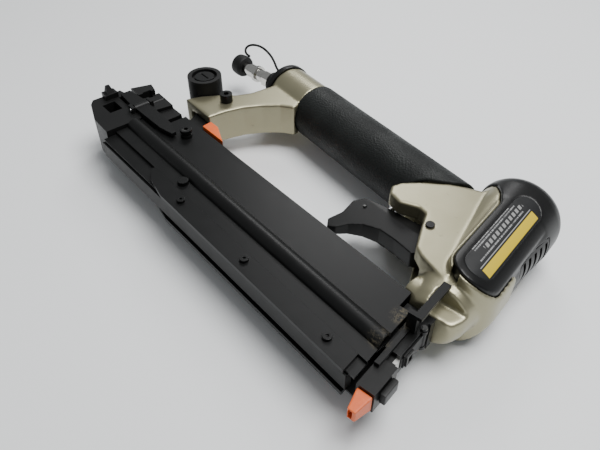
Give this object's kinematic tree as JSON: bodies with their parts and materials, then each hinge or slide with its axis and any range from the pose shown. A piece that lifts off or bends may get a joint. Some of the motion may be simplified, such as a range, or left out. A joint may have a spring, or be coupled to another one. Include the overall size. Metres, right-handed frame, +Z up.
{
  "type": "flooring nailer",
  "caption": "Pneumatic flooring stapler lying on its side, with leaning head, rubber grip, long magazine, striking hammer and air plug.",
  "frame": {"origin": "middle of the footprint of the tool lying on its side, on the surface it lies on", "axes": "+X along the magazine towards the nose, +Y from the floor tip to the head cap, +Z up, across the tool"},
  "size_m": [0.3209, 0.1913, 0.055],
  "materials": {
    "gold_paint": "painted, satin champagne",
    "black_steel": "black oxide, satin",
    "black_plastic": "moulded, semi-gloss",
    "black_rubber": "matt, fine grain",
    "zinc_steel": "machined",
    "chrome": "polished",
    "orange_urethane": "satin",
    "label": "printed film",
    "aluminium": "machined",
    "spring_steel": "drawn wire"
  },
  "bodies": {
    "frame": {"body_casting": "gold_paint", "grip_sleeve": "black_rubber", "cylinder_cap": "black_plastic", "cap_gasket": "black_rubber", "cap_screws": "black_steel", "label_plate": "label", "exhaust_grille": "black_plastic", "cylinder_sleeve": "aluminium", "bumper": "black_rubber", "head_valve_spring": "spring_steel", "trigger_pin": "black_steel", "valve_housing": "aluminium", "valve_spring": "spring_steel", "end_cap": "black_plastic", "air_filter": "zinc_steel", "plug_collar": "black_rubber", "air_plug": "chrome", "nose_body": "black_steel", "door_pin": "zinc_steel", "nose_screws": "black_steel", "contact_spring": "spring_steel", "magazine_shell": "black_steel", "guide_rails": "aluminium", "lower_covers": "black_steel", "cover_screws": "black_steel", "catch_post": "black_steel", "arm_bracket": "black_steel", "arm_pad": "orange_urethane", "arm_bolt": "black_steel", "hammer_lug": "black_steel", "hammer": "black_rubber", "hammer_bolt": "black_steel"},
    "piston_set": {"piston": "aluminium", "piston_ring": "black_rubber", "driver_blade": "zinc_steel"},
    "head_valve_body": {"head_valve": "aluminium"},
    "trigger_set": {"trigger": "black_plastic", "idler_pin": "zinc_steel"},
    "idler": {"idler_lever": "zinc_steel"},
    "stem": {"valve_stem": "zinc_steel"},
    "safety": {"contact_foot": "black_steel", "contact_link": "black_steel", "nose_tip": "orange_urethane", "tongue_guide": "black_steel"},
    "door": {"nose_door": "black_steel", "door_latch": "zinc_steel"},
    "slide": {"slide_rail": "zinc_steel", "slide_housing": "black_plastic", "latch_pin": "zinc_steel", "latch_spring": "spring_steel"},
    "latch": {"latch_lever": "black_steel"},
    "pusher_set": {"pusher": "zinc_steel", "pusher_spring": "spring_steel"},
    "dust_cover": {"dust_cap": "black_rubber", "dust_strap": "black_rubber", "strap_ring": "black_rubber"}
  },
  "joints": [
    {"name": "piston_stroke", "type": "slide", "parent": "frame", "child": "piston_set", "axis": [0.1736, -0.9848, 0], "range_m": [0, 0.046]},
    {"name": "head_valve_lift", "type": "slide", "parent": "frame", "child": "head_valve_body", "axis": [-0.1736, 0.9848, 0], "range_m": [0, 0.004], "stiffness_N_per_m": 800, "springref_m": -0.004, "deforming": ["head_valve_spring"]},
    {"name": "trigger_pull", "type": "hinge", "parent": "frame", "child": "trigger_set", "pos_m": [0.103, 0.016, 0.0275], "axis": [0, 0, -1], "range_deg": [0, 8], "stiffness_Nm_per_rad": 0.6, "springref_deg": -17.19},
    {"name": "idler_tilt", "type": "hinge", "parent": "trigger_set", "child": "idler", "pos_m": [0.057, 0.0095, 0.0275], "axis": [0, 0, 1], "range_deg": [0, 4], "stiffness_Nm_per_rad": 0.05, "springref_deg": -17.19},
    {"name": "valve_stem_lift", "type": "slide", "parent": "frame", "child": "stem", "axis": [0, 1, 0], "range_m": [0, 0.0031], "deforming": ["valve_spring"]},
    {"name": "safety_press", "type": "slide", "parent": "frame", "child": "safety", "axis": [-0.1736, 0.9848, 0], "range_m": [0, 0.006], "stiffness_N_per_m": 500, "springref_m": -0.008, "deforming": ["contact_spring"]},
    {"name": "door_swing", "type": "hinge", "parent": "frame", "child": "door", "pos_m": [0.14547, -0.0352, 0.0275], "axis": [0, 0, 1], "range_deg": [0, 85]},
    {"name": "magazine_slide", "type": "slide", "parent": "frame", "child": "slide", "axis": [-1, 0, 0], "range_m": [0, 0.15]},
    {"name": "latch_lift", "type": "hinge", "parent": "slide", "child": "latch", "pos_m": [-0.127, -0.045, 0.04215], "axis": [0, -1, 0], "range_deg": [0, 12], "stiffness_Nm_per_rad": 0.3, "springref_deg": -11.46, "deforming": ["latch_spring"]},
    {"name": "pusher_travel", "type": "slide", "parent": "slide", "child": "pusher_set", "axis": [-1, 0, 0], "range_m": [0, 0.17], "stiffness_N_per_m": 20, "springref_m": -0.3},
    {"name": "dust_cap_pull", "type": "slide", "parent": "frame", "child": "dust_cover", "axis": [-0.9976, -0.0698, 0], "range_m": [0, 0.016]}
  ],
  "couplings": [
    {"joint": "valve_stem_lift", "follows": "trigger_pull", "m_per_rad": 0.021486}
  ]
}
